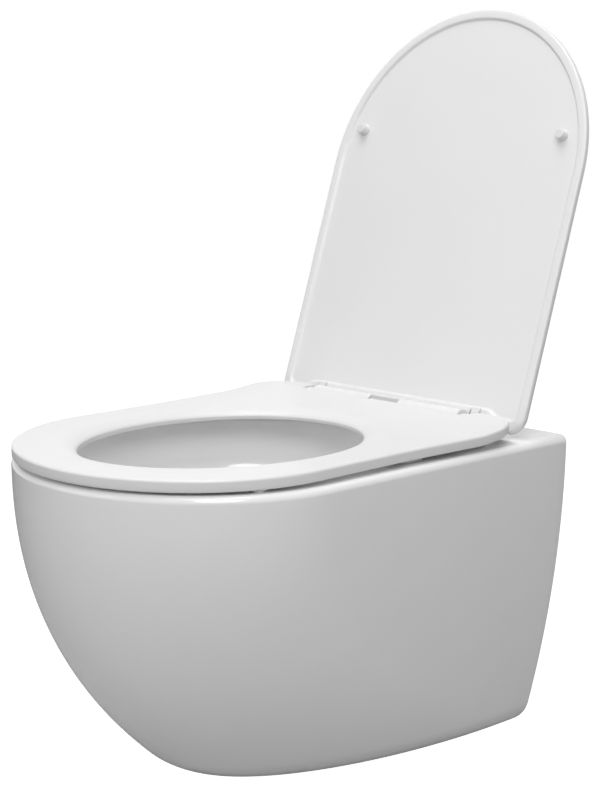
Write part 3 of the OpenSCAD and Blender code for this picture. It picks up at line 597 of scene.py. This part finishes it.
# Nodes that aren't named here are stainless steel
looks = (
    (china, "pan"),
    (duroplast, "seat lid"),
    (white_plastic, "hinge_bar release_button hinge_base_plate"),
    (soft_white, "seat_buffers lid_buffers post_gaskets"),
    (rubber, "bearing_pads"),
    (nylon, "deck_sleeves damper_left damper_right latch_left latch_right"),
    (zinc_steel, "wall_bracket_left wall_bracket_right"),
)
look = {name: mat for mat, names in looks for name in names.split()}
for name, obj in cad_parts.items():
    obj.data.materials.clear()
    obj.data.materials.append(look.get(name, stainless))

for build, body, stands_for, slot, mat in (
    (build_pan, "pan", "pan", "china", china),
    (build_seat, "seat", "seat", "duroplast", duroplast),
    (build_lid, "lid", "lid", "duroplast", duroplast),
    (build_lid_buffers, "lid", "lid_buffers", "clear_rubber", soft_white),
):
    piece = build()
    piece.data.materials.clear()
    piece.data.materials.append(mat)
    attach(piece, body)
    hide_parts(stands_for)

# Camera, at the photograph's viewing angle
PHOTO_LONG_SIDE = 787
CAMERA_AT = (1.2316, -1.371, 0.4189)
CAMERA_YAW = 46.19
CAMERA_PITCH = 9.89
FOCAL_PX = 1800
SENSOR_MM = 36

camera = bpy.data.objects.new("camera", bpy.data.cameras.new("camera"))
bpy.context.collection.objects.link(camera)
camera.location = CAMERA_AT
camera.rotation_euler = (math.radians(90 - CAMERA_PITCH), 0, math.radians(CAMERA_YAW))
camera.data.sensor_width = SENSOR_MM
camera.data.lens = FOCAL_PX * SENSOR_MM / PHOTO_LONG_SIDE
camera.data.clip_end = 50
bpy.context.scene.camera = camera
bpy.context.scene.view_settings.view_transform = "Standard"

# Floor, world and lamps. Light Path keeps what the camera sees of floor and world white
FLOOR_Z = -0.32
FLOOR_HALF = 4.0
WHITE = (1, 1, 1, 1)
floor_mesh = bpy.data.meshes.new("floor")
corners = [(x * FLOOR_HALF, y * FLOOR_HALF, FLOOR_Z) for x, y in ((-1, -1), (1, -1), (1, 1), (-1, 1))]
floor_mesh.from_pydata(corners, [], [(0, 1, 2, 3)])
floor = bpy.data.objects.new("floor", floor_mesh)
bpy.context.collection.objects.link(floor)
floor_mat = bpy.data.materials.new("floor")
floor_mat.use_nodes = True
tree = floor_mat.node_tree
tree.nodes.clear()
link = tree.links.new
out = node(tree, "ShaderNodeOutputMaterial")
diffuse = node(tree, "ShaderNodeBsdfDiffuse", {"Color": (0.5, 0.5, 0.5, 1)})
glow = node(tree, "ShaderNodeEmission", {"Color": WHITE})
path = node(tree, "ShaderNodeLightPath")
add = node(tree, "ShaderNodeAddShader")
strength = node(tree, "ShaderNodeMath", {1: 0.92}, operation="MULTIPLY")
link(path.outputs["Is Camera Ray"], strength.inputs[0])
link(strength.outputs[0], glow.inputs["Strength"])
link(diffuse.outputs[0], add.inputs[0])
link(glow.outputs[0], add.inputs[1])
link(add.outputs[0], out.inputs["Surface"])
floor_mesh.materials.append(floor_mat)

world = bpy.data.worlds.new("world")
bpy.context.scene.world = world
world.use_nodes = True
tree = world.node_tree
tree.nodes.clear()
link = tree.links.new
out = node(tree, "ShaderNodeOutputWorld")
seen = node(tree, "ShaderNodeBackground", {"Color": WHITE})
ambient = node(tree, "ShaderNodeBackground", {"Color": WHITE, "Strength": 0.3})
path = node(tree, "ShaderNodeLightPath")
first = node(tree, "ShaderNodeMath", operation="MAXIMUM")
second = node(tree, "ShaderNodeMath", operation="MAXIMUM")
mix = node(tree, "ShaderNodeMixShader")
link(path.outputs["Is Camera Ray"], first.inputs[0])
link(path.outputs["Is Glossy Ray"], first.inputs[1])
link(first.outputs[0], second.inputs[0])
link(path.outputs["Is Transmission Ray"], second.inputs[1])
link(second.outputs[0], mix.inputs["Fac"])
link(ambient.outputs[0], mix.inputs[1])
link(seen.outputs[0], mix.inputs[2])
link(mix.outputs[0], out.inputs["Surface"])


def lamp(name, at, aim, size, power):
    data = bpy.data.lights.new(name, "AREA")
    data.shape = "DISK"
    data.size = size
    data.energy = power
    obj = bpy.data.objects.new(name, data)
    bpy.context.collection.objects.link(obj)
    obj.location = at
    obj.rotation_euler = (Vector(aim) - Vector(at)).to_track_quat("-Z", "Y").to_euler()


MIDDLE = (0, -0.25, 0.05)
lamp("top_lamp", (0.0, -0.5, 2.25), MIDDLE, 1.6, 24)
lamp("side_lamp", (1.32, -1.28, 1.5), MIDDLE, 1.0, 17.5)
lamp("front_lamp", (-1.0, -2.2, 0.9), MIDDLE, 1.6, 5)
